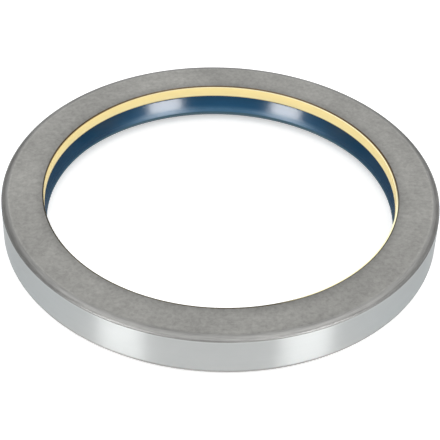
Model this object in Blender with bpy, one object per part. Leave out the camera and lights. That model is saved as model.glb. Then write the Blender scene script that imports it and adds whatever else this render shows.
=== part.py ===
"""Radial shaft seal with a built-in dirt excluder, for a differential's output flange.

Every piece is a turned ring about Z. The flange and the excluder face up, the side that dirt comes
from, and the garter spring faces down, the side that holds the oil. Lengths are in metres.
"""

import math

import bmesh
import bpy
from mathutils import Vector

# Fit: the shaft that the seal runs on, and the section that it fills between shaft and housing
SHAFT_DIAMETER = 0.130
RADIAL_SECTION = 0.015
HOUSING_BORE = SHAFT_DIAMETER + 2 * RADIAL_SECTION
OVERALL_WIDTH = 0.016
SEAT_GAP = 0.0003

# Steel case: a drawn cup with its lower edge bent in over the pieces that it holds
CASE_SHEET = 0.0015
FLANGE_CLEARANCE = 0.0001
FLANGE_EDGE_RADIUS = 0.0003
SHOULDER_DEPTH = 0.00145
SHOULDER_REACH = 0.0020
RIM_THICKNESS = 0.0012
RIM_REACH = 0.0048
RIM_BEND_RADIUS = 0.0018
RIM_TIP_RADIUS = 0.0004

# Excluder: a polyurethane foot under the flange and a thin scraping nose up through its bore
EXCLUDER_INTERFERENCE = 0.0007
EXCLUDER_FOOT_HEIGHT = 0.0026
EXCLUDER_LAND_WIDTH = 0.00025
EXCLUDER_TOP_RECESS = 0.0003
EXCLUDER_EDGE_DEPTH = 0.0039
EXCLUDER_UNDERCUT_REACH = 0.0034
EXCLUDER_CORNER_RADIUS = 0.0005

# Stiffener: an L-section steel ring, its flange held in the rubber and its wall against the case
STIFFENER_SHEET = 0.0012
STIFFENER_BORE_CLEARANCE = 0.0032
STIFFENER_BEND_RADIUS = 0.0015

# Rubber body round the stiffener's flange
RUBBER_COAT = 0.0008
RUBBER_TOP_REACH = 0.0098
RUBBER_UNDER_REACH = 0.0060
RUBBER_INNER_CLEARANCE = 0.0019
RUBBER_CORNER_RADIUS = 0.0003

# Sealing lip: the contact edge, the flexible leg above it and the head that carries the spring
LIP_INTERFERENCE = 0.00095
LIP_DROP = 0.0077
TRIM_HEIGHT = 0.00075
TRIM_REACH = 0.00022
AIR_FACE_HEIGHT = 0.0057
AIR_FACE_ANGLE = math.radians(24)
OIL_FACE_ANGLE = math.radians(42)
HEAD_DEPTH = 0.0021
LEG_THICKNESS = 0.0015
AIR_FACE_BLEND_RADIUS = 0.0020
LEG_BLEND_RADIUS = 0.0005

# Garter spring in its groove, a little to the air side of the contact edge
SPRING_COIL_DIAMETER = 0.0019
SPRING_BEHIND_EDGE = 0.0037
SPRING_ABOVE_EDGE = 0.0005
GROOVE_MOUTH_ANGLE = math.radians(58)
GROOVE_LIP_WIDTH = 0.0005

# Fineness of the turned surfaces
SEGMENTS = 64
CHORD_TOLERANCE = 0.00005
SHARPEST_SMOOTH_ANGLE = math.radians(35)
FILLET_SHARE_OF_SIDE = 0.49


# Profiles: lists of (radius, height) points round the section of a ring


def arc(centre, radius_across, radius_up, first, last):
    """Points on an arc of a circle or an ellipse, from one angle to another."""
    largest = max(radius_across, radius_up, 2 * CHORD_TOLERANCE)
    step_angle = 2 * math.acos(1 - CHORD_TOLERANCE / largest)
    steps = max(2, math.ceil(abs(last - first) / step_angle))
    points = []
    for step in range(steps + 1):
        angle = first + (last - first) * step / steps
        across = centre[0] + radius_across * math.cos(angle)
        up = centre[1] + radius_up * math.sin(angle)
        points.append((across, up))
    return points


def fillet(before, corner, after, radius):
    """The arc that rounds one corner of an outline, no longer than the sides that it joins."""
    corner = Vector(corner)
    back = Vector(before) - corner
    ahead = Vector(after) - corner
    half = back.angle(ahead) / 2
    shortest = min(back.length, ahead.length)
    setback = min(radius / math.tan(half), FILLET_SHARE_OF_SIDE * shortest)
    radius = setback * math.tan(half)
    inwards = (back.normalized() + ahead.normalized()).normalized()
    centre = corner + inwards * radius / math.sin(half)
    start = corner + back.normalized() * setback - centre
    end = corner + ahead.normalized() * setback - centre
    first = math.atan2(start.y, start.x)
    return arc(centre, radius, radius, first, first - start.angle_signed(end))


def rounded(corners):
    """An outline from (radius, height, corner radius) corners. A corner radius of 0 stays sharp."""
    points = []
    for index, (across, up, radius) in enumerate(corners):
        if radius == 0:
            points.append((across, up))
            continue
        before = corners[index - 1][:2]
        after = corners[(index + 1) % len(corners)][:2]
        points += fillet(before, (across, up), after, radius)
    return points


def sharp(points):
    """Points as corners that stay as they are."""
    return [(across, up, 0) for across, up in points]


# Heights and radii that neighbouring pieces share


def shared_places():
    """The faces where one piece of the seal meets the next, from the top down."""
    place = {}
    place["top"] = OVERALL_WIDTH
    place["flange_under"] = place["top"] - CASE_SHEET
    place["excluder_top"] = place["flange_under"] - SEAT_GAP
    place["excluder_under"] = place["excluder_top"] - EXCLUDER_FOOT_HEIGHT
    place["rubber_top"] = place["excluder_under"] - SEAT_GAP
    place["slot_top"] = place["rubber_top"] - RUBBER_COAT
    place["stiffener_top"] = place["slot_top"] - SEAT_GAP
    place["stiffener_under"] = place["stiffener_top"] - STIFFENER_SHEET
    place["slot_under"] = place["stiffener_under"] - SEAT_GAP
    place["rubber_under"] = place["slot_under"] - RUBBER_COAT
    place["stiffener_foot"] = RIM_THICKNESS + SEAT_GAP
    place["case_outside"] = HOUSING_BORE / 2
    place["case_inside"] = place["case_outside"] - CASE_SHEET
    place["held_outside"] = place["case_inside"] - SEAT_GAP
    place["flange_bore"] = SHAFT_DIAMETER / 2 + FLANGE_CLEARANCE
    place["lip_edge"] = SHAFT_DIAMETER / 2 - LIP_INTERFERENCE
    place["lip_height"] = place["rubber_top"] - LIP_DROP
    place["stiffener_bore"] = SHAFT_DIAMETER / 2 + STIFFENER_BORE_CLEARANCE
    place["spring_radius"] = place["lip_edge"] + SPRING_BEHIND_EDGE
    place["spring_height"] = place["lip_height"] + SPRING_ABOVE_EDGE
    return place


def case_profile(place):
    """Section of the drawn cup: the flange's bore, the shoulder, the wall and the bent rim."""
    outside = place["case_outside"]
    inside = place["case_inside"]
    rim_tip = outside - RIM_REACH
    shoulder_centre = (outside - SHOULDER_REACH, place["top"] - SHOULDER_DEPTH)
    shoulder = arc(shoulder_centre, SHOULDER_REACH, SHOULDER_DEPTH, math.pi / 2, 0)
    return rounded(
        [
            (place["flange_bore"], place["top"], FLANGE_EDGE_RADIUS),
            *sharp(shoulder),
            (outside, 0, RIM_BEND_RADIUS),
            (rim_tip, 0, RIM_TIP_RADIUS),
            (rim_tip, RIM_THICKNESS, RIM_TIP_RADIUS),
            (inside, RIM_THICKNESS, 0),
            (inside, place["flange_under"], 0),
            (place["flange_bore"], place["flange_under"], 0),
        ]
    )


def excluder_profile(place):
    """Section of the excluder, from the top of its nose down the scraping face and round the foot."""
    nose_outside = place["flange_bore"] - SEAT_GAP
    nose_inside = nose_outside - EXCLUDER_LAND_WIDTH
    nose_top = place["top"] - EXCLUDER_TOP_RECESS
    edge = SHAFT_DIAMETER / 2 - EXCLUDER_INTERFERENCE
    edge_height = place["top"] - EXCLUDER_EDGE_DEPTH
    undercut = edge + EXCLUDER_UNDERCUT_REACH
    return rounded(
        [
            (nose_outside, nose_top, 0),
            (nose_outside, place["excluder_top"], 0),
            (place["held_outside"], place["excluder_top"], EXCLUDER_CORNER_RADIUS),
            (place["held_outside"], place["excluder_under"], EXCLUDER_CORNER_RADIUS),
            (undercut, place["excluder_under"], 0),
            (edge, edge_height, 0),
            (nose_inside, nose_top, 0),
        ]
    )


def stiffener_profile(place):
    """Section of the L-shaped ring: flange at the top, wall down the case to its rim."""
    outside = place["held_outside"]
    inside = outside - STIFFENER_SHEET
    inner_bend = max(STIFFENER_BEND_RADIUS - STIFFENER_SHEET, SEAT_GAP)
    return rounded(
        [
            (place["stiffener_bore"], place["stiffener_top"], 0),
            (outside, place["stiffener_top"], STIFFENER_BEND_RADIUS),
            (outside, place["stiffener_foot"], 0),
            (inside, place["stiffener_foot"], 0),
            (inside, place["stiffener_under"], inner_bend),
            (place["stiffener_bore"], place["stiffener_under"], 0),
        ]
    )


def groove_arc(place):
    """The spring's seat in the back of the head, from its lower mouth round to its upper one."""
    centre = (place["spring_radius"], place["spring_height"])
    radius = SPRING_COIL_DIAMETER / 2 + SEAT_GAP
    return arc(centre, radius, radius, -GROOVE_MOUTH_ANGLE, GROOVE_MOUTH_ANGLE - 2 * math.pi)


def lip_profile(place):
    """Section of the rubber: round the stiffener's flange, down the leg, round the head to the edge."""
    edge = (place["lip_edge"], place["lip_height"])
    trim = (edge[0] + TRIM_REACH, edge[1] + TRIM_HEIGHT)
    face_slope = math.tan(AIR_FACE_ANGLE)
    face_top = (trim[0] + AIR_FACE_HEIGHT * face_slope, trim[1] + AIR_FACE_HEIGHT)
    body_inside = SHAFT_DIAMETER / 2 + RUBBER_INNER_CLEARANCE
    top_outside = SHAFT_DIAMETER / 2 + RUBBER_TOP_REACH
    under_outside = SHAFT_DIAMETER / 2 + RUBBER_UNDER_REACH
    slot_inside = place["stiffener_bore"] - SEAT_GAP
    face_at_leg = trim[0] + (place["rubber_under"] - trim[1]) * face_slope
    leg_outside = face_at_leg + LEG_THICKNESS
    head_bottom = edge[1] - HEAD_DEPTH
    head_inside = edge[0] + HEAD_DEPTH * math.tan(OIL_FACE_ANGLE)
    groove = groove_arc(place)
    mouth_low = groove[0]
    mouth_high = groove[-1]
    head_outside = mouth_low[0] + GROOVE_LIP_WIDTH
    head_top = mouth_high[1] + GROOVE_LIP_WIDTH
    return rounded(
        [
            *sharp(groove),
            (mouth_high[0], head_top, 0),
            (leg_outside, head_top, LEG_BLEND_RADIUS),
            (leg_outside, place["rubber_under"], LEG_BLEND_RADIUS),
            (under_outside, place["rubber_under"], 0),
            (under_outside, place["slot_under"], 0),
            (slot_inside, place["slot_under"], 0),
            (slot_inside, place["slot_top"], 0),
            (top_outside, place["slot_top"], 0),
            (top_outside, place["rubber_top"], 0),
            (body_inside, place["rubber_top"], RUBBER_CORNER_RADIUS),
            (*face_top, AIR_FACE_BLEND_RADIUS),
            (*trim, 0),
            (*edge, 0),
            (head_inside, head_bottom, RUBBER_CORNER_RADIUS),
            (head_outside, head_bottom, RUBBER_CORNER_RADIUS),
            (head_outside, mouth_low[1], 0),
        ]
    )


def spring_profile(place):
    """Section of the garter spring's outer form, a round coil seen as one solid."""
    centre = (place["spring_radius"], place["spring_height"])
    radius = SPRING_COIL_DIAMETER / 2
    return arc(centre, radius, radius, 0, -2 * math.pi)[:-1]


# Materials and objects


def make_material(name, colour, roughness, metallic):
    material = bpy.data.materials.new(name)
    material.use_nodes = True
    shader = material.node_tree.nodes["Principled BSDF"]
    shader.inputs["Base Color"].default_value = (*colour, 1)
    shader.inputs["Roughness"].default_value = roughness
    shader.inputs["Metallic"].default_value = metallic
    return material


def turned_ring(name, profile, material):
    """Spins a closed section once round Z, and returns it as an object with smooth round faces."""
    mesh = bpy.data.meshes.new(name)
    shape = bmesh.new()
    section = [shape.verts.new((across, 0, up)) for across, up in profile]
    outline = [shape.edges.new((section[i - 1], section[i])) for i in range(len(section))]
    bmesh.ops.spin(
        shape,
        geom=section + outline,
        cent=(0, 0, 0),
        axis=(0, 0, 1),
        angle=2 * math.pi,
        steps=SEGMENTS,
        use_merge=True,
    )
    bmesh.ops.recalc_face_normals(shape, faces=shape.faces)
    shape.to_mesh(mesh)
    shape.free()
    mesh.shade_smooth()
    mesh.set_sharp_from_angle(angle=SHARPEST_SMOOTH_ANGLE)
    mesh.materials.append(material)
    ring = bpy.data.objects.new(name, mesh)
    bpy.context.collection.objects.link(ring)
    return ring


def clear_scene():
    for thing in list(bpy.data.objects):
        bpy.data.objects.remove(thing)


clear_scene()
places = shared_places()
ground_steel = make_material("ground_steel", (0.36, 0.36, 0.345), 0.32, 1.0)
drawn_steel = make_material("drawn_steel", (0.28, 0.28, 0.28), 0.42, 1.0)
spring_steel = make_material("spring_steel", (0.45, 0.45, 0.44), 0.25, 1.0)
yellow_polyurethane = make_material("yellow_polyurethane", (0.95, 0.80, 0.36), 0.45, 0.0)
blue_nitrile = make_material("blue_nitrile", (0.021, 0.076, 0.156), 0.30, 0.0)
turned_ring("outer_case", case_profile(places), ground_steel)
turned_ring("excluder_ring", excluder_profile(places), yellow_polyurethane)
turned_ring("stiffener_ring", stiffener_profile(places), drawn_steel)
turned_ring("sealing_lip", lip_profile(places), blue_nitrile)
turned_ring("garter_spring", spring_profile(places), spring_steel)
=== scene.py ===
import math

import bmesh
import bpy
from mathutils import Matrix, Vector


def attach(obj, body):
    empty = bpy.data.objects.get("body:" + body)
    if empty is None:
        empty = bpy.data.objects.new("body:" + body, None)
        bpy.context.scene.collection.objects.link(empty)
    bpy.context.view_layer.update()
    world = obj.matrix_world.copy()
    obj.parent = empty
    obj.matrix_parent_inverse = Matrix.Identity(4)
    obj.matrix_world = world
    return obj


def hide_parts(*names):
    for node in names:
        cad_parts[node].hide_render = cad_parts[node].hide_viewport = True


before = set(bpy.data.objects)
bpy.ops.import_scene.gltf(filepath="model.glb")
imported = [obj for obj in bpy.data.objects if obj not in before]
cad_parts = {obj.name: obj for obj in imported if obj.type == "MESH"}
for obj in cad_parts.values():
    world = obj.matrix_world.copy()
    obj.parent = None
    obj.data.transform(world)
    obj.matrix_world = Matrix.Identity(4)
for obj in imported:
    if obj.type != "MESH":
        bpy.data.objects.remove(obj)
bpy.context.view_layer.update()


# Outer case
# A cup drawn from 1.5 mm sheet steel. The flat flange keeps the dull face of the rolled sheet, and
# the outside wall is ground bright to fit its bore. The lower edge is bent in to hold the rest.

STEPS_AROUND = 384
CASE_TOP = 0.016
CASE_OUTSIDE = 0.080
CASE_INSIDE = 0.0785
FLANGE_UNDER = 0.0145
FLANGE_BORE = 0.0651
SHOULDER_REACH = 0.0026
SHOULDER_FULLNESS = 2.15
SHOULDER_STEPS = 24
SHOULDER_DEPTH = 0.00145
RIM_TOP = 0.0012
RIM_TIP = 0.0752
RIM_BEND = 0.0018
SHOULDER_START = CASE_OUTSIDE - SHOULDER_REACH
WALL_TOP = CASE_TOP - SHOULDER_DEPTH
EDGE_CORNER = 0.0003
RIM_CORNER = 0.0004
INSIDE_CORNER = 0.0005
UNDERSIDE_CORNER = 0.00015
FACE_TOLERANCE = 0.0001
ARC_STEP = 0.00015
FEWEST_ARC_STEPS = 3


def round_corner(shape, corner, reach, steps):
    """Cuts a corner of a wire back by the same reach on both sides, and joins the cuts by an arc."""
    bmesh.ops.bevel(
        shape,
        geom=[corner],
        offset=reach,
        offset_type="OFFSET",
        affect="VERTICES",
        segments=steps,
        profile=0.5,
        material=-1,
    )


def draw_section(corners):
    """A closed wire in the XZ plane from (radius, height, corner reach) corners."""
    shape = bmesh.new()
    points = [shape.verts.new((across, 0, up)) for across, up, _ in corners]
    for index, point in enumerate(points):
        shape.edges.new((points[index - 1], point))
    for point, (_, _, reach) in zip(points, corners):
        if reach:
            round_corner(shape, point, reach, FEWEST_ARC_STEPS + round(reach / ARC_STEP))
    return shape


def spin_section(shape):
    """Turns the wire once round Z, so that its start and end meet."""
    bmesh.ops.spin(
        shape,
        geom=shape.verts[:] + shape.edges[:],
        cent=(0, 0, 0),
        axis=(0, 0, 1),
        angle=2 * math.pi,
        steps=STEPS_AROUND,
        use_merge=True,
    )
    bmesh.ops.recalc_face_normals(shape, faces=shape.faces)


def finish_piece(shape, name, smooth_angle=30):
    """Makes the shape a smooth-shaded object at the origin."""
    mesh = bpy.data.meshes.new(name)
    shape.to_mesh(mesh)
    shape.free()
    mesh.shade_smooth()
    mesh.set_sharp_from_angle(angle=math.radians(smooth_angle))
    piece = bpy.data.objects.new(name, mesh)
    bpy.context.collection.objects.link(piece)
    return piece


def feed(tree, value, socket):
    """Links a socket to another one, or sets it to a plain value."""
    if isinstance(value, bpy.types.NodeSocket):
        tree.links.new(value, socket)
    else:
        socket.default_value = value


def node(tree, kind, inputs=None, **settings):
    """A new shader node with its inputs fed and its settings made."""
    made = tree.nodes.new("ShaderNode" + kind)
    for name, value in settings.items():
        setattr(made, name, value)
    for key, value in (inputs or {}).items():
        feed(tree, value, made.inputs[key])
    return made


def calc(tree, operation, *values):
    """One step of arithmetic on plain numbers or sockets."""
    return node(tree, "Math", dict(enumerate(values)), operation=operation).outputs[0]


def product(tree, first, *others):
    """All the values multiplied together."""
    for other in others:
        first = calc(tree, "MULTIPLY", first, other)
    return first


def ramp(tree, value, low, high, from_value=0.0, to_value=1.0, shape="SMOOTHSTEP"):
    """Runs from one value to another as the input goes from low to high."""
    inputs = {"Value": value, "From Min": low, "From Max": high, "To Min": from_value, "To Max": to_value}
    return node(tree, "MapRange", inputs, interpolation_type=shape).outputs["Result"]


def band(tree, value, rise, fall):
    """Goes up to 1 over the first range and back down to 0 over the second."""
    return product(tree, ramp(tree, value, *rise), ramp(tree, value, *fall, 1.0, 0.0))


def axis(tree, place, letter):
    """One coordinate of a place."""
    return node(tree, "SeparateXYZ", {"Vector": place}).outputs[letter]


def reach_along(tree, place, direction):
    """How far a place lies from the origin in a direction."""
    return node(tree, "VectorMath", {0: place, 1: direction}, operation="DOT_PRODUCT").outputs["Value"]


def blend(tree, factor, first, second):
    """A number between two, by a factor from 0 to 1."""
    return node(tree, "Mix", {0: factor, 2: first, 3: second}, data_type="FLOAT").outputs[0]


def tint(tree, colour, tone):
    """A colour made lighter or darker by a tone about 1."""
    grey = node(tree, "CombineColor", {"Red": tone, "Green": tone, "Blue": tone}).outputs["Color"]
    mix = node(tree, "Mix", data_type="RGBA", blend_type="MULTIPLY", clamp_result=False)
    mix.inputs["Factor"].default_value = 1.0
    feed(tree, colour, mix.inputs[6])
    feed(tree, grey, mix.inputs[7])
    return mix.outputs[2]


def between(tree, factor, first, second):
    """A colour between two, by a factor from 0 to 1."""
    mix = node(tree, "Mix", data_type="RGBA")
    for key, value in ((0, factor), (6, first), (7, second)):
        if isinstance(value, tuple) and len(value) == 3:
            value = (*value, 1)
        feed(tree, value, mix.inputs[key])
    return mix.outputs[2]


def new_group(name, inputs, outputs):
    """An empty shader group with named float and vector sockets."""
    tree = bpy.data.node_groups.new(name, "ShaderNodeTree")
    for title, kind, value in inputs:
        socket = tree.interface.new_socket(title, in_out="INPUT", socket_type="NodeSocket" + kind)
        if value is not None:
            socket.default_value = value
    for title in outputs:
        tree.interface.new_socket(title, in_out="OUTPUT", socket_type="NodeSocketFloat")
    start = tree.nodes.new("NodeGroupInput")
    end = tree.nodes.new("NodeGroupOutput")
    return tree, start.outputs, end.inputs


def use_group(tree, group, **inputs):
    """The outputs of a group, with an underscore for each space in the names of its inputs."""
    made = tree.nodes.new("ShaderNodeGroup")
    made.node_tree = group
    for title, value in inputs.items():
        feed(tree, value, made.inputs[title.replace("_", " ")])
    return made.outputs


# The clouded look of rolled sheet and of moulded rubber: broad patches with finer ones on them. A
# noise lies about its middle, and four times its swing reaches about 1 either way.
NOISE_MIDDLE = 0.5
NOISE_SWING = 4.0
cloudy_patches, start, end = new_group(
    "cloudy_patches",
    [("Vector", "Vector", None), ("Patch Size", "Float", 0.01), ("Amount", "Float", 0.05)],
    ["Tone"],
)
per_metre = calc(cloudy_patches, "DIVIDE", 1.0, start["Patch Size"])
cloud = node(
    cloudy_patches,
    "TexNoise",
    {"Vector": start["Vector"], "Scale": per_metre, "Detail": 5.0, "Roughness": 0.6, "Distortion": 0.4},
).outputs[0]
swing = product(cloudy_patches, calc(cloudy_patches, "SUBTRACT", cloud, NOISE_MIDDLE), NOISE_SWING)
feed(cloudy_patches, calc(cloudy_patches, "MULTIPLY_ADD", swing, start["Amount"], 1.0), end["Tone"])

# Fine lines that run round the axis, as turning and grinding leave them. They fade in and out.
turned_lines, start, end = new_group(
    "turned_lines",
    [
        ("Vector", "Vector", None),
        ("Spacing", "Float", 0.0003),
        ("Amount", "Float", 0.05),
        ("Breaks", "Float", 1.5),
    ],
    ["Tone", "Height"],
)
axes = node(turned_lines, "SeparateXYZ", {"Vector": start["Vector"]}).outputs
across_squared = product(turned_lines, axes["X"], axes["X"])
back_squared = product(turned_lines, axes["Y"], axes["Y"])
radius = calc(turned_lines, "SQRT", calc(turned_lines, "ADD", across_squared, back_squared))
around = calc(turned_lines, "ARCTAN2", axes["Y"], axes["X"])
along = node(
    turned_lines,
    "CombineXYZ",
    {
        "X": calc(turned_lines, "DIVIDE", radius, start["Spacing"]),
        "Y": calc(turned_lines, "DIVIDE", axes["Z"], start["Spacing"]),
        "Z": product(turned_lines, around, start["Breaks"]),
    },
).outputs["Vector"]
line = node(
    turned_lines,
    "TexNoise",
    {"Vector": along, "Scale": 1.0, "Detail": 3.0, "Roughness": 0.65},
).outputs[0]
feed(turned_lines, line, end["Height"])
swing = product(turned_lines, calc(turned_lines, "SUBTRACT", line, NOISE_MIDDLE), NOISE_SWING)
feed(turned_lines, calc(turned_lines, "MULTIPLY_ADD", swing, start["Amount"], 1.0), end["Tone"])

# Small grain for bump: the tooth of rolled steel, or of a mould's blasted wall.
fine_grain, start, end = new_group(
    "fine_grain",
    [("Vector", "Vector", None), ("Grain Size", "Float", 0.0004)],
    ["Height"],
)
per_metre = calc(fine_grain, "DIVIDE", 1.0, start["Grain Size"])
grain = node(
    fine_grain,
    "TexNoise",
    {"Vector": start["Vector"], "Scale": per_metre, "Detail": 3.0, "Roughness": 0.55},
).outputs[0]
feed(fine_grain, grain, end["Height"])

# Thin scuffs from handling, a few in each direction, only here and there.
SCUFF_DIRECTIONS = (17, 74, 131)
SCUFF_SCALE = (70.0, 3200.0, 900.0)
SCUFFED_PLACES = (0.48, 0.62)
SCUFF_PEAKS = (0.66, 0.74)
handling_scuffs, start, end = new_group(
    "handling_scuffs",
    [("Vector", "Vector", None), ("Amount", "Float", 0.3)],
    ["Mask"],
)
where = node(
    handling_scuffs,
    "TexNoise",
    {"Vector": start["Vector"], "Scale": 45.0, "Detail": 2.0},
).outputs[0]
here = ramp(handling_scuffs, where, *SCUFFED_PLACES)
strongest = None
for turn in SCUFF_DIRECTIONS:
    turned = node(
        handling_scuffs,
        "Mapping",
        {"Vector": start["Vector"], "Rotation": (0, 0, math.radians(turn)), "Scale": SCUFF_SCALE},
    ).outputs["Vector"]
    streak = node(handling_scuffs, "TexNoise", {"Vector": turned, "Scale": 1.0, "Detail": 1.0}).outputs[0]
    scuff = ramp(handling_scuffs, streak, *SCUFF_PEAKS)
    strongest = scuff if strongest is None else calc(handling_scuffs, "MAXIMUM", strongest, scuff)
feed(handling_scuffs, product(handling_scuffs, strongest, here, start["Amount"]), end["Mask"])


def new_material(name):
    """A material, its tree, its shader, and Object coordinates with the radius and height in them."""
    material = bpy.data.materials.new(name)
    material.use_nodes = True
    tree = material.node_tree
    shader = tree.nodes["Principled BSDF"]
    place = node(tree, "TexCoord").outputs["Object"]
    axes = node(tree, "SeparateXYZ", {"Vector": place}).outputs
    flat = node(tree, "CombineXYZ", {"X": axes["X"], "Y": axes["Y"]}).outputs["Vector"]
    radius = node(tree, "VectorMath", {0: flat}, operation="LENGTH").outputs["Value"]
    return material, tree, shader, place, radius, axes["Z"]


def bump(tree, shader, heights):
    """Feeds (height, depth in metres) pairs to the shader's normal, one bump on top of another."""
    normal = None
    for height, depth in heights:
        inputs = {"Height": height, "Distance": depth, "Strength": 1.0}
        if normal is not None:
            inputs["Normal"] = normal
        normal = node(tree, "Bump", inputs).outputs["Normal"]
    feed(tree, normal, shader.inputs["Normal"])


# The dull sheet. The flange is clouded and blotchy, darker towards the bore, with painted shade at its
# front right and a painted shadow along the bore's back edge, brown from a painted reflection of the
# yellow. The shoulder, stretched by the draw, is streaked, with painted shade at its front. Where it
# starts, a painted crease has a painted highlight behind and painted shade in front, and low on it a
# dull line is darkened by painted shade. Seen at a low angle, the sheet is duller.
SHEET_GREY = (0.403, 0.399, 0.380)
SHOULDER_GREY = (0.374, 0.372, 0.361)
# Painted shadow along the bore's back edge, brown from a painted reflection of the yellow.
BORE_EDGE_SHADOW_BROWN = (0.18, 0.115, 0.045)
SHADOWED_BORE_EDGE = (FLANGE_BORE + 0.00015, FLANGE_BORE + 0.00040)
SHADOWED_EDGE_SIDE = (0.004, 0.026)
BORE_EDGE_SHADOW_STRENGTH = 0.85
BORE_SHADE = 0.27
BORE_SHADE_END = 0.0705
# Painted shade: the flange darker at its front right, the shoulder darker at its front.
FRONT_RIGHT = (0.5, -0.87, 0)
SHADED_FLANGE_FRONT = (0.045, 0.066)
SHADED_SHOULDER_FRONT = (-0.078, -0.070)
FRONT_SHADE_TONE = 0.89
SHOULDER_TONE = 0.98
SHOULDER_BLEND = (SHOULDER_START, SHOULDER_START + 0.0003)
# The crease is painted: a painted highlight behind and painted shade in front.
CREASE_RISE = (SHOULDER_START - 0.0007, SHOULDER_START - 0.0001)
CREASE_HIGHLIGHT = 0.10
CREASE_SHADE = 0.20
SHADED_CREASE_SIDE = (-0.072, -0.055)
# The dull low line is darkened by painted shade.
LOW_LINE_RISE = (0.00002, 0.00022)
LOW_LINE_FALL = (0.00050, 0.00090)
LOW_LINE_SHADE = 0.40
SHEET_DULLNESS = 0.43
SHOULDER_DULLNESS = 0.35
DULLNESS_BLEND = (SHOULDER_START - 0.0001, SHOULDER_START + 0.0003)
LOW_LINE_DULLNESS = 0.16
LOW_DULLNESS_FALL = (0.0004, 0.0011)
GRAZING_VIEW = (0.50, 0.74)
GRAZING_DULLNESS = 0.40
SHEET_EDGE_TINT = (0.60, 0.60, 0.60, 1)
SHEET_GRAIN_DEPTH = 0.000012
SCORED_DEPTH = 0.000030

case_sheet, tree, shader, place, radius, height = new_material("case_sheet")
toward_back = axis(tree, place, "Y")
above_wall = calc(tree, "SUBTRACT", height, WALL_TOP)
patches = use_group(tree, cloudy_patches, Vector=place, Patch_Size=0.026, Amount=0.17)["Tone"]
blotches = use_group(tree, cloudy_patches, Vector=place, Patch_Size=0.0014, Amount=0.19)["Tone"]
lines = use_group(tree, turned_lines, Vector=place, Spacing=0.00042, Amount=0.20, Breaks=11.0)
scuffs = use_group(tree, handling_scuffs, Vector=place, Amount=0.10)["Mask"]
shoulder_zone = ramp(tree, radius, *SHOULDER_BLEND)
# Painted highlight behind and painted shade in front, along the crease.
crease_shade_side = ramp(tree, toward_back, *SHADED_CREASE_SIDE, 1.0, 0.0)
crease_highlight_and_shade = calc(tree, "MULTIPLY_ADD", crease_shade_side, -CREASE_SHADE, CREASE_HIGHLIGHT)
painted_crease_light = product(tree, band(tree, radius, CREASE_RISE, SHOULDER_BLEND), crease_highlight_and_shade)
# Painted shade on the low line, added to the crease's painted light and the shoulder's tone.
shaded_low_line = product(tree, band(tree, above_wall, LOW_LINE_RISE, LOW_LINE_FALL), shoulder_zone)
shoulder_tone_and_painted_light = calc(tree, "MULTIPLY_ADD", shaded_low_line, -LOW_LINE_SHADE, painted_crease_light)
shoulder_tone_and_painted_light = calc(tree, "ADD", shoulder_tone_and_painted_light, blend(tree, shoulder_zone, 1.0, SHOULDER_TONE))
near_bore = ramp(tree, radius, FLANGE_BORE, BORE_SHADE_END, 1.0, 0.0, "LINEAR")
bore_shade = calc(tree, "MULTIPLY_ADD", product(tree, near_bore, near_bore), -BORE_SHADE, 1.0)
# Painted shade on the flange's front right and on the shoulder's front.
flange_front_shade = ramp(tree, reach_along(tree, place, FRONT_RIGHT), *SHADED_FLANGE_FRONT, 1.0, FRONT_SHADE_TONE)
shoulder_front_shade = ramp(tree, toward_back, *SHADED_SHOULDER_FRONT, FRONT_SHADE_TONE, 1.0)
front_shade = blend(tree, shoulder_zone, flange_front_shade, shoulder_front_shade)
mottling = blend(tree, shoulder_zone, blotches, lines["Tone"])
tone = calc(tree, "ADD", product(tree, patches, mottling), scuffs)
tone = product(tree, tone, bore_shade, front_shade, shoulder_tone_and_painted_light)
grey = between(tree, shoulder_zone, SHEET_GREY, SHOULDER_GREY)
# Painted shadow, with a painted reflection of the yellow, along the bore's back edge.
bore_edge_shadow = ramp(tree, radius, *SHADOWED_BORE_EDGE, BORE_EDGE_SHADOW_STRENGTH, 0.0)
bore_edge_shadow = product(tree, bore_edge_shadow, ramp(tree, toward_back, *SHADOWED_EDGE_SIDE))
colour = between(tree, bore_edge_shadow, grey, BORE_EDGE_SHADOW_BROWN)
feed(tree, tint(tree, colour, tone), shader.inputs["Base Color"])
dullness = ramp(tree, radius, *DULLNESS_BLEND, SHEET_DULLNESS, SHOULDER_DULLNESS)
low_dullness = ramp(tree, above_wall, *LOW_DULLNESS_FALL, LOW_LINE_DULLNESS, 0.0)
dullness = calc(tree, "ADD", dullness, low_dullness)
view = node(tree, "LayerWeight").outputs["Facing"]
grazing = ramp(tree, view, *GRAZING_VIEW, 0.0, GRAZING_DULLNESS)
feed(tree, calc(tree, "MULTIPLY_ADD", patches, dullness, grazing), shader.inputs["Roughness"])
shader.inputs["Metallic"].default_value = 1.0
shader.inputs["Specular Tint"].default_value = SHEET_EDGE_TINT
grain = use_group(tree, fine_grain, Vector=place, Grain_Size=0.0005)["Height"]
scored = product(tree, lines["Height"], shoulder_zone)
bump(tree, shader, [(grain, SHEET_GRAIN_DEPTH), (scored, SCORED_DEPTH)])

# The ground wall: bright, with fine lines round it that smear each reflection up and down, and a
# painted highlight just under the shoulder.
GROUND_GREY = (0.444, 0.456, 0.453)
GROUND_DULLNESS = 0.30
# Painted highlight just under the shoulder.
HIGHLIGHT_EDGE_SPAN = (WALL_TOP - 0.0008, WALL_TOP - 0.0002)
EDGE_HIGHLIGHT = 0.07
GROUND_EDGE_TINT = (0.68, 0.68, 0.68, 1)
GROUND_LINE_DEPTH = 0.000003

case_ground, tree, shader, place, _, height = new_material("case_ground")
rings = use_group(tree, turned_lines, Vector=place, Spacing=0.00035, Amount=0.015)
bands = use_group(tree, turned_lines, Vector=place, Spacing=0.0022, Amount=0.012)["Tone"]
patches = use_group(tree, cloudy_patches, Vector=place, Patch_Size=0.012, Amount=0.03)["Tone"]
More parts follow.
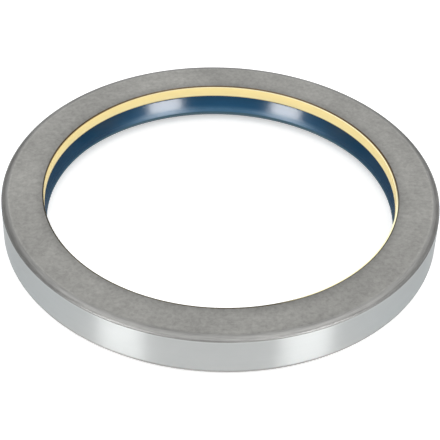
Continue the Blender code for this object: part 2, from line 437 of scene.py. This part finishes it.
# Painted highlight at the wall's top edge.
edge_highlight_tone = calc(tree, "MULTIPLY_ADD", ramp(tree, height, *HIGHLIGHT_EDGE_SPAN), EDGE_HIGHLIGHT, 1.0)
tone = product(tree, rings["Tone"], bands, patches, edge_highlight_tone)
feed(tree, tint(tree, (*GROUND_GREY, 1), tone), shader.inputs["Base Color"])
feed(tree, product(tree, patches, GROUND_DULLNESS), shader.inputs["Roughness"])
shader.inputs["Metallic"].default_value = 1.0
shader.inputs["Anisotropic"].default_value = 1.0
shader.inputs["Anisotropic Rotation"].default_value = 0.25
shader.inputs["Specular Tint"].default_value = GROUND_EDGE_TINT
bump(tree, shader, [(rings["Height"], GROUND_LINE_DEPTH)])

# The shoulder's quarter turn is a little fuller than an ellipse.
shoulder = []
for step in range(SHOULDER_STEPS + 1):
    turn = math.pi / 2 * step / SHOULDER_STEPS
    across = SHOULDER_START + SHOULDER_REACH * math.sin(turn) ** (2 / SHOULDER_FULLNESS)
    up = CASE_TOP - SHOULDER_DEPTH * (1 - max(math.cos(turn), 0) ** (2 / SHOULDER_FULLNESS))
    shoulder.append((across, up, 0))
shape = draw_section(
    [
        (FLANGE_BORE, CASE_TOP, EDGE_CORNER),
        *shoulder,
        (CASE_OUTSIDE, 0, RIM_BEND),
        (RIM_TIP, 0, RIM_CORNER),
        (RIM_TIP, RIM_TOP, RIM_CORNER),
        (CASE_INSIDE, RIM_TOP, EDGE_CORNER),
        (CASE_INSIDE, FLANGE_UNDER, INSIDE_CORNER),
        (FLANGE_BORE, FLANGE_UNDER, UNDERSIDE_CORNER),
    ]
)
spin_section(shape)
for face in shape.faces:
    middle = face.calc_center_median()
    on_wall = middle.xy.length > CASE_OUTSIDE - FACE_TOLERANCE
    face.material_index = int(on_wall and RIM_BEND < middle.z < WALL_TOP)
case = finish_piece(shape, "case")
case.data.materials.append(case_sheet)
case.data.materials.append(case_ground)
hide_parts("outer_case")
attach(case, "root")


# Dirt excluder
# A pale yellow polyurethane ring, moulded with a flat foot that is clamped under the flange and a
# thin nose that comes up through the flange's bore and scrapes the shaft. Being soft, its inside
# wall lies a little off the axis.

NOSE_OUTSIDE = 0.0649
NOSE_INSIDE = 0.0645
NOSE_TOP = 0.0159
NOSE_CORNER = 0.00008
NOSE_ROOT = 0.0001
INSIDE_WALL_SHIFT = (-0.00022, -0.00018, 0)
FOOT_TOP = 0.0142
FOOT_UNDER = 0.0116
FOOT_OUTSIDE = 0.0782
FOOT_CORNER = 0.0005
SCRAPING_EDGE = 0.0643
SCRAPING_EDGE_HEIGHT = 0.0119
SCRAPING_EDGE_CORNER = 0.00006
UNDERCUT_REACH = 0.0034
UNDERCUT_CORNER = 0.0003

# Satin yellow, paler towards the scraping edge. The nose's outside and lowest edge have painted shade
# in ochre, and the outer part of its top has a painted shadow of the gap, apart from a stretch at the
# front right.
YELLOW = (1.0, 0.81, 0.36)
PALE_YELLOW = (0.98, 0.85, 0.47)
TOP_YELLOW = (0.99, 0.93, 0.60)
# Painted shade in ochre, on the nose's outside and on its lowest edge.
SHADED_OCHRE = (0.30, 0.22, 0.08)
# Painted shadow of the gap on the outer part of the nose's top: olive in front, brown behind.
GAP_SHADOW_BROWN = (0.27, 0.17, 0.06)
GAP_SHADOW_OLIVE = (0.07, 0.065, 0.045)
PALE_FALL = (SCRAPING_EDGE_HEIGHT + 0.0002, SCRAPING_EDGE_HEIGHT + 0.0020)
PALE_STRENGTH = 0.6
SHADED_LOW_EDGE_FALL = (SCRAPING_EDGE_HEIGHT + 0.0001, SCRAPING_EDGE_HEIGHT + 0.0004)
LOW_EDGE_SHADE = 0.7
SHADED_OUTSIDE_RISE = (NOSE_OUTSIDE - 0.00008, NOSE_OUTSIDE - 0.00002)
UNSHADOWED_SIDE = (0.82, -0.57, 0)
UNSHADOWED_RISE = (0.050, 0.060)
GAP_SHADOW_BROWN_BEHIND = (-0.020, 0.020)
GAP_SHADOW_EDGE = (NOSE_OUTSIDE - 0.00044, NOSE_OUTSIDE - 0.00034)
TOP_RISE = (NOSE_TOP - 0.00016, NOSE_TOP - 0.00004)
YELLOW_DULLNESS = 0.42
YELLOW_GRAIN_DEPTH = 0.000006
YELLOW_RING_DEPTH = 0.000003

excluder_yellow, tree, shader, place, radius, height = new_material("excluder_yellow")
patches = use_group(tree, cloudy_patches, Vector=place, Patch_Size=0.012, Amount=0.02)["Tone"]
rings = use_group(tree, turned_lines, Vector=place, Spacing=0.0004, Amount=0.02)
colour = between(tree, ramp(tree, height, *PALE_FALL, PALE_STRENGTH, 0.0), YELLOW, PALE_YELLOW)
# Painted shade in ochre on the nose's outside wall and lowest edge.
outside = ramp(tree, radius, *SHADED_OUTSIDE_RISE)
shaded_low_edge = ramp(tree, height, *SHADED_LOW_EDGE_FALL, LOW_EDGE_SHADE, 0.0)
colour = between(tree, calc(tree, "MAXIMUM", outside, shaded_low_edge), colour, SHADED_OCHRE)
# Painted shadow of the gap on the top's outer part, left out at the front right.
gap_shadow = between(tree, ramp(tree, axis(tree, place, "Y"), *GAP_SHADOW_BROWN_BEHIND), GAP_SHADOW_OLIVE, GAP_SHADOW_BROWN)
unshadowed = ramp(tree, reach_along(tree, place, UNSHADOWED_SIDE), *UNSHADOWED_RISE)
top = between(tree, unshadowed, gap_shadow, TOP_YELLOW)
top = between(tree, ramp(tree, radius, *GAP_SHADOW_EDGE, 1.0, 0.0), top, TOP_YELLOW)
colour = between(tree, ramp(tree, height, *TOP_RISE), colour, top)
feed(tree, tint(tree, colour, product(tree, patches, rings["Tone"])), shader.inputs["Base Color"])
feed(tree, product(tree, patches, YELLOW_DULLNESS), shader.inputs["Roughness"])
shader.inputs["IOR"].default_value = 1.5
grain = use_group(tree, fine_grain, Vector=place, Grain_Size=0.0003)["Height"]
bump(tree, shader, [(grain, YELLOW_GRAIN_DEPTH), (rings["Height"], YELLOW_RING_DEPTH)])

shape = draw_section(
    [
        (NOSE_OUTSIDE, NOSE_TOP, NOSE_CORNER),
        (NOSE_OUTSIDE, FOOT_TOP, NOSE_ROOT),
        (FOOT_OUTSIDE, FOOT_TOP, FOOT_CORNER),
        (FOOT_OUTSIDE, FOOT_UNDER, FOOT_CORNER),
        (SCRAPING_EDGE + UNDERCUT_REACH, FOOT_UNDER, UNDERCUT_CORNER),
        (SCRAPING_EDGE, SCRAPING_EDGE_HEIGHT, SCRAPING_EDGE_CORNER),
        (NOSE_INSIDE, NOSE_TOP, NOSE_CORNER),
    ]
)
spin_section(shape)
inside_wall = [vert for vert in shape.verts if vert.co.xy.length < NOSE_OUTSIDE - FACE_TOLERANCE]
bmesh.ops.translate(shape, verts=inside_wall, vec=INSIDE_WALL_SHIFT)
excluder = finish_piece(shape, "excluder")
excluder.data.materials.append(excluder_yellow)
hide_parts("excluder_ring")
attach(excluder, "root")


# Stiffener
# An L-section ring pressed from 1.2 mm sheet. Its flange is moulded into the rubber, and its wall
# stands on the case's bent rim and holds the rubber up against the excluder.

STIFFENER_BORE = 0.0682
STIFFENER_TOP = 0.0102
STIFFENER_UNDER = 0.0090
STIFFENER_OUTSIDE = 0.0782
STIFFENER_INSIDE = 0.0770
STIFFENER_FOOT = 0.0015
STIFFENER_BEND = 0.0015
FOOT_EDGE = 0.0002
BORE_EDGE = 0.0001
INNER_BEND = 0.0003
DRAWN_GREY = (0.26, 0.26, 0.255)
DRAWN_DULLNESS = 0.48
DRAWN_GRAIN_DEPTH = 0.000015
DRAWN_RING_DEPTH = 0.000006

drawn_steel, tree, shader, place, _, _ = new_material("drawn_steel_finish")
patches = use_group(tree, cloudy_patches, Vector=place, Patch_Size=0.010, Amount=0.08)["Tone"]
rings = use_group(tree, turned_lines, Vector=place, Spacing=0.0008, Amount=0.08)
scuffs = use_group(tree, handling_scuffs, Vector=place, Amount=0.12)["Mask"]
tone = calc(tree, "ADD", product(tree, patches, rings["Tone"]), scuffs)
feed(tree, tint(tree, (*DRAWN_GREY, 1), tone), shader.inputs["Base Color"])
feed(tree, product(tree, patches, DRAWN_DULLNESS), shader.inputs["Roughness"])
shader.inputs["Metallic"].default_value = 1.0
grain = use_group(tree, fine_grain, Vector=place, Grain_Size=0.0006)["Height"]
bump(tree, shader, [(grain, DRAWN_GRAIN_DEPTH), (rings["Height"], DRAWN_RING_DEPTH)])

shape = draw_section(
    [
        (STIFFENER_BORE, STIFFENER_TOP, BORE_EDGE),
        (STIFFENER_OUTSIDE, STIFFENER_TOP, STIFFENER_BEND),
        (STIFFENER_OUTSIDE, STIFFENER_FOOT, FOOT_EDGE),
        (STIFFENER_INSIDE, STIFFENER_FOOT, FOOT_EDGE),
        (STIFFENER_INSIDE, STIFFENER_UNDER, INNER_BEND),
        (STIFFENER_BORE, STIFFENER_UNDER, BORE_EDGE),
    ]
)
spin_section(shape)
stiffener = finish_piece(shape, "stiffener")
stiffener.data.materials.append(drawn_steel)
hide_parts("stiffener_ring")
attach(stiffener, "root")


# Sealing lip
# Blue nitrile rubber, moulded onto the stiffener's flange. A thin leg carries the head, whose edge
# is trimmed sharp to run on the shaft, and the garter spring snaps into a groove behind the edge.

LIP_EDGE = 0.06405
LIP_HEIGHT = 0.0036
TRIM_RADIUS = 0.06427
TRIM_HEIGHT = 0.00435
FACE_TOP_RADIUS = 0.06681
FACE_TOP_HEIGHT = 0.01005
BODY_INSIDE = 0.0669
RUBBER_TOP = 0.0113
RUBBER_TOP_OUTSIDE = 0.0748
SLOT_TOP = 0.0105
SLOT_INSIDE = 0.0679
SLOT_UNDER = 0.0087
RUBBER_UNDER = 0.0079
RUBBER_UNDER_OUTSIDE = 0.0710
LEG_OUTSIDE = 0.06735
HEAD_BOTTOM = 0.0015
HEAD_INSIDE = 0.06594
HEAD_OUTSIDE = 0.0689
HORN_TIP = 0.0684
HORN_TOP = 0.00566
SPRING_RADIUS = 0.06775
SPRING_HEIGHT = 0.0041
GROOVE_RADIUS = 0.00105
LIP_CORNER = 0.00006
TRIM_CORNER = 0.00012
RUBBER_EDGE = 0.0002
RUBBER_CORNER = 0.0003
HEAD_CORNER = 0.0004
LEG_BLEND = 0.0005
HORN_CORNER = 0.00015
GROOVE_MOUTH = 0.0001

# Glossy blue. The lower face has painted light, more at the back and the front, the sides have
# painted shade, and the trimmed edge is dull.
BLUE = (0.015, 0.080, 0.172)
# Painted light on the lower face, strongest at the back and the front.
LIT_LOW_BLUE = (0.040, 0.133, 0.242)
TRIM_BLUE = (0.028, 0.085, 0.125)
LOWER_FACE = (TRIM_HEIGHT + 0.0005, TRIM_HEIGHT + 0.0026)
TRIMMED_FACE = (TRIM_HEIGHT - 0.0002, TRIM_HEIGHT)
LIT_LOWER_FACE_SIDE = (0.030, 0.048)
LIGHT_LEFT_AT_SIDE = 0.2
# Painted shade on the lip's sides.
SHADED_SIDE = (0.032, 0.047)
SIDE_SHADE = 0.60
TRIM_TONE = 1.15
FACE_DULLNESS = 0.15
LOWER_DULLNESS = 0.29
TRIM_DULLNESS = 0.55
BLUE_GRAIN_DEPTH = 0.000006
BLUE_RING_DEPTH = 0.000004

lip_blue, tree, shader, place, _, height = new_material("lip_blue")
patches = use_group(tree, cloudy_patches, Vector=place, Patch_Size=0.014, Amount=0.06)["Tone"]
blotches = use_group(tree, cloudy_patches, Vector=place, Patch_Size=0.003, Amount=0.03)["Tone"]
rings = use_group(tree, turned_lines, Vector=place, Spacing=0.0006, Amount=0.04)
aside = calc(tree, "ABSOLUTE", axis(tree, place, "X"))
trimmed = ramp(tree, height, *TRIMMED_FACE, 1.0, 0.0)
# Painted light on the lower face, faded towards the sides.
lit_lower_face = ramp(tree, height, *LOWER_FACE, 1.0, 0.0)
lit_lower_face = product(tree, lit_lower_face, ramp(tree, aside, *LIT_LOWER_FACE_SIDE, 1.0, LIGHT_LEFT_AT_SIDE))
colour = between(tree, trimmed, between(tree, lit_lower_face, BLUE, LIT_LOW_BLUE), TRIM_BLUE)
# Painted shade on the sides, left off the trimmed edge.
side_shade = ramp(tree, aside, *SHADED_SIDE, 1.0, SIDE_SHADE)
tone = product(tree, patches, blotches, rings["Tone"], blend(tree, trimmed, side_shade, TRIM_TONE))
feed(tree, tint(tree, colour, tone), shader.inputs["Base Color"])
dullness = ramp(tree, height, *LOWER_FACE, LOWER_DULLNESS, FACE_DULLNESS)
dullness = blend(tree, trimmed, dullness, TRIM_DULLNESS)
feed(tree, product(tree, patches, dullness), shader.inputs["Roughness"])
shader.inputs["IOR"].default_value = 1.45
grain = use_group(tree, fine_grain, Vector=place, Grain_Size=0.0005)["Height"]
bump(tree, shader, [(grain, BLUE_GRAIN_DEPTH), (rings["Height"], BLUE_RING_DEPTH)])

groove_left = SPRING_RADIUS - GROOVE_RADIUS
groove_top = SPRING_HEIGHT + GROOVE_RADIUS
groove_low = SPRING_HEIGHT - GROOVE_RADIUS
shape = draw_section(
    [
        (HORN_TIP, groove_top - GROOVE_MOUTH, GROOVE_MOUTH),
        (HORN_TIP, HORN_TOP, HORN_CORNER),
        (LEG_OUTSIDE, HORN_TOP, LEG_BLEND),
        (LEG_OUTSIDE, RUBBER_UNDER, LEG_BLEND),
        (RUBBER_UNDER_OUTSIDE, RUBBER_UNDER, RUBBER_EDGE),
        (RUBBER_UNDER_OUTSIDE, SLOT_UNDER, 0),
        (SLOT_INSIDE, SLOT_UNDER, 0),
        (SLOT_INSIDE, SLOT_TOP, 0),
        (RUBBER_TOP_OUTSIDE, SLOT_TOP, 0),
        (RUBBER_TOP_OUTSIDE, RUBBER_TOP, RUBBER_EDGE),
        (BODY_INSIDE, RUBBER_TOP, RUBBER_CORNER),
        (FACE_TOP_RADIUS, FACE_TOP_HEIGHT, LEG_BLEND),
        (TRIM_RADIUS, TRIM_HEIGHT, TRIM_CORNER),
        (LIP_EDGE, LIP_HEIGHT, LIP_CORNER),
        (HEAD_INSIDE, HEAD_BOTTOM, RUBBER_CORNER),
        (HEAD_OUTSIDE, HEAD_BOTTOM, HEAD_CORNER),
        (HEAD_OUTSIDE, groove_low, RUBBER_EDGE),
        (groove_left, groove_low, GROOVE_RADIUS),
        (groove_left, groove_top, GROOVE_RADIUS),
    ]
)
spin_section(shape)
lip = finish_piece(shape, "lip")
lip.data.materials.append(lip_blue)
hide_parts("sealing_lip")
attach(lip, "root")


# Garter spring
# Close-wound spring wire, its two ends screwed together to make a ring. It lies in the groove
# behind the edge and keeps the lip pressed on the shaft.

WIRE_DIAMETER = 0.00038
COIL_DIAMETER = 0.0019
COILS = 1050
POINTS_PER_COIL = 9
SPRING_GREY = (0.46, 0.46, 0.45)
WIRE_DULLNESS = 0.28
WIRE_GRAIN_DEPTH = 0.000002

spring_steel, tree, shader, place, _, _ = new_material("spring_wire")
patches = use_group(tree, cloudy_patches, Vector=place, Patch_Size=0.006, Amount=0.08)["Tone"]
feed(tree, tint(tree, (*SPRING_GREY, 1), patches), shader.inputs["Base Color"])
feed(tree, product(tree, patches, WIRE_DULLNESS), shader.inputs["Roughness"])
shader.inputs["Metallic"].default_value = 1.0
grain = use_group(tree, fine_grain, Vector=place, Grain_Size=0.0001)["Height"]
bump(tree, shader, [(grain, WIRE_GRAIN_DEPTH)])

winding = bpy.data.curves.new("spring_winding", "CURVE")
winding.dimensions = "3D"
winding.bevel_depth = WIRE_DIAMETER / 2
winding.bevel_resolution = 1
path = winding.splines.new("POLY")
path.use_cyclic_u = True
path.points.add(COILS * POINTS_PER_COIL - 1)
coil_radius = (COIL_DIAMETER - WIRE_DIAMETER) / 2
for index, point in enumerate(path.points):
    turn = 2 * math.pi * index / POINTS_PER_COIL
    around = turn / COILS
    out = SPRING_RADIUS + coil_radius * math.cos(turn)
    up = SPRING_HEIGHT + coil_radius * math.sin(turn)
    point.co = (out * math.cos(around), out * math.sin(around), up, 1)
wound = bpy.data.objects.new("spring_winding", winding)
bpy.context.collection.objects.link(wound)
bpy.context.view_layer.update()
evaluated = wound.evaluated_get(bpy.context.evaluated_depsgraph_get())
spring_mesh = bpy.data.meshes.new_from_object(evaluated)
bpy.data.objects.remove(wound)
spring_mesh.shade_smooth()
spring = bpy.data.objects.new("spring", spring_mesh)
bpy.context.collection.objects.link(spring)
spring.data.materials.clear()
spring.data.materials.append(spring_steel)
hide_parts("garter_spring")
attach(spring, "root")


# Floor
# A plain white table top that the seal lies on. It keeps the seal's soft shadow. Gloss and metal
# mirror it with painted light: a painted glow close beside the seal, a painted cool tint at its sides,
# and painted shade through the bore.

FLOOR_HALF = 3.0
FLOOR_WHITE = (0.86, 0.86, 0.86, 1)
FLOOR_LIFT = 0.45
MIRRORED_LIFT = 0.29
# Painted shade: the floor inside the bore is darker in gloss and metal.
BORE_FLOOR_SHADE = (0.22, 0.22, 0.22, 1)
BORE_FLOOR = (0.056, 0.066)
BESIDE = (CASE_OUTSIDE, 0.100)
# Painted glow on the floor beside the seal, seen in gloss and metal only.
BESIDE_GLOW = 0.25
COOL_SIDE = (0.045, 0.070)
# Painted cool tint of the floor at its sides, seen in gloss and metal only.
COOL_GLOW = (0.90, 0.98, 1.03)

shape = bmesh.new()
bmesh.ops.create_grid(shape, x_segments=1, y_segments=1, size=FLOOR_HALF)
floor = finish_piece(shape, "floor")
floor_white = bpy.data.materials.new("floor_white")
floor_white.use_nodes = True
tree = floor_white.node_tree
shader = tree.nodes["Principled BSDF"]
shader.inputs["Roughness"].default_value = 0.9
shader.inputs["Specular IOR Level"].default_value = 0.0
rays = node(tree, "LightPath").outputs
mirrored = rays["Is Glossy Ray"]
seen = calc(tree, "MAXIMUM", rays["Is Camera Ray"], rays["Is Transmission Ray"])
spot = node(tree, "TexCoord").outputs["Object"]
from_axis = node(tree, "VectorMath", {0: spot}, operation="LENGTH").outputs["Value"]
inside = ramp(tree, from_axis, *BORE_FLOOR, 1.0, 0.0)
# Painted shade on the floor inside the bore, seen in gloss and metal only.
painted_bore_shade = product(tree, inside, mirrored)
feed(tree, between(tree, painted_bore_shade, FLOOR_WHITE, BORE_FLOOR_SHADE), shader.inputs["Base Color"])
# Painted glow beside the seal, left out inside the bore.
beside_glow = ramp(tree, from_axis, *BESIDE, BESIDE_GLOW, 0.0)
beside_glow = calc(tree, "SUBTRACT", beside_glow, product(tree, inside, BESIDE_GLOW))
outside_lift = product(tree, calc(tree, "SUBTRACT", mirrored, painted_bore_shade), MIRRORED_LIFT)
mirrored_lift = calc(tree, "MULTIPLY_ADD", beside_glow, mirrored, outside_lift)
lift = calc(tree, "MULTIPLY_ADD", seen, FLOOR_LIFT, mirrored_lift)
feed(tree, lift, shader.inputs["Emission Strength"])
aside = calc(tree, "ABSOLUTE", axis(tree, spot, "X"))
# Painted cool reflection from the floor's sides.
cool_glow = product(tree, ramp(tree, aside, *COOL_SIDE), mirrored)
feed(tree, between(tree, cool_glow, (1, 1, 1), COOL_GLOW), shader.inputs["Emission Color"])
floor.data.materials.append(floor_white)


# Studio light
# Soft white light from all round. Gloss and metal mirror a room instead: dark walls that are pale at
# the left and right in front, and a bright ceiling with a dark stripe over the seal. A soft box on
# each side in front makes the highlights on the wall and the lip, and a faint one hangs above.

FILL = 1.16
DARK = 0.38
BRIGHT = 1.10
SIDE_FRONT = 1.20
MIDDLE_FRONT = 0.06
FRONT_WALL = (-0.50, -0.22)
PALE_FRONT_ASIDE = (0.35, 0.55)
PALE_FRONT_ABOVE = (0.08, 0.24)
WALL_HEIGHT = 0.22
TALLER_WALL = 0.40
TALLER_ASIDE = (0.16, 0.34)
TALLER_BEHIND = (-0.60, -0.35)
WALL_TO_CEILING = 0.20
OVERHEAD = (0.80, 0.92)
OVERHEAD_ASIDE = (0.04, 0.24)
OVERHEAD_LIGHT = (0.05, 0.52)
DIP = (0.60, 0.72)
DIP_LEFT_OVERHEAD = 0.5
DIP_ASIDE = (0.08, 0.24)
DIP_DEPTH = (0.62, 0.10)

world = bpy.data.worlds.new("studio")
bpy.context.scene.world = world
world.use_nodes = True
tree = world.node_tree
background = tree.nodes["Background"]
background.inputs["Color"].default_value = (1, 1, 1, 1)
rays = node(tree, "LightPath").outputs
toward = node(tree, "SeparateXYZ", {"Vector": node(tree, "TexCoord").outputs["Generated"]}).outputs
sideways = calc(tree, "ABSOLUTE", toward["X"])
taller = product(tree, ramp(tree, sideways, *TALLER_ASIDE), ramp(tree, toward["Y"], *TALLER_BEHIND))
wall_top = calc(tree, "MULTIPLY_ADD", taller, TALLER_WALL, WALL_HEIGHT)
ceiling = calc(tree, "ADD", wall_top, WALL_TO_CEILING)
pale_above = ramp(tree, toward["Z"], *PALE_FRONT_ABOVE)
pale = product(tree, ramp(tree, sideways, *PALE_FRONT_ASIDE), pale_above)
wall = ramp(tree, toward["Y"], *FRONT_WALL, blend(tree, pale, MIDDLE_FRONT, SIDE_FRONT), DARK)
room = ramp(tree, toward["Z"], wall_top, ceiling, wall, BRIGHT)
overhead_light = ramp(tree, sideways, *OVERHEAD_ASIDE, *OVERHEAD_LIGHT)
overhead_light = product(tree, ramp(tree, toward["Z"], *OVERHEAD), overhead_light)
room = calc(tree, "ADD", room, overhead_light)
dip = ramp(tree, toward["Z"], *OVERHEAD, 1.0, DIP_LEFT_OVERHEAD)
dip = product(tree, ramp(tree, toward["Z"], *DIP), dip, ramp(tree, sideways, *DIP_ASIDE, *DIP_DEPTH))
room = calc(tree, "SUBTRACT", room, dip)
plain = calc(tree, "MAXIMUM", rays["Is Camera Ray"], rays["Is Transmission Ray"])
strength = blend(tree, rays["Is Glossy Ray"], blend(tree, plain, FILL, 1.0), room)
feed(tree, strength, background.inputs["Strength"])


def soft_box(name, place, aim, width, height, radiance):
    """A rectangular lamp at a place, turned to face a point, that shows in gloss and metal only."""
    light = bpy.data.lights.new(name, "AREA")
    light.shape = "RECTANGLE"
    light.size = width
    light.size_y = height
    light.energy = radiance * math.pi * width * height
    lamp = bpy.data.objects.new(name, light)
    lamp.location = place
    lamp.rotation_euler = (Vector(aim) - Vector(place)).to_track_quat("-Z", "Y").to_euler()
    lamp.visible_camera = False
    lamp.visible_diffuse = False
    bpy.context.collection.objects.link(lamp)
    return lamp


BOX_HEIGHT = 0.10
BOX_RADIANCE = 18.5
soft_box(
    "box_left",
    place=(-0.290, -0.350, 0.100),
    aim=(0.05, -0.13, 0.100),
    width=0.165,
    height=BOX_HEIGHT,
    radiance=BOX_RADIANCE,
)
soft_box(
    "box_right",
    place=(0.271, -0.351, 0.100),
    aim=(-0.05, -0.15, 0.100),
    width=0.180,
    height=BOX_HEIGHT,
    radiance=BOX_RADIANCE,
)
above = soft_box(
    "box_above",
    place=(0, 0.2, 1.1),
    aim=(0, 0, 0),
    width=1.0,
    height=0.8,
    radiance=0.3,
)
above.visible_glossy = False
above.visible_diffuse = True


# Camera
# At the photograph's angle, looking down by about 40 degrees, with the long lens that the
# photograph's perspective shows.

SENSOR_WIDTH = 36
LENS = 118.70
CAMERA_PLACE = (0, -0.41767, 0.34564)
CAMERA_TURN = (50.387, -1.592, 1.311)

camera_data = bpy.data.cameras.new("camera")
camera_data.lens = LENS
camera_data.sensor_width = SENSOR_WIDTH
camera = bpy.data.objects.new("camera", camera_data)
camera.location = CAMERA_PLACE
camera.rotation_euler = [math.radians(degrees) for degrees in CAMERA_TURN]
bpy.context.collection.objects.link(camera)
bpy.context.scene.camera = camera
bpy.context.scene.view_settings.view_transform = "Standard"
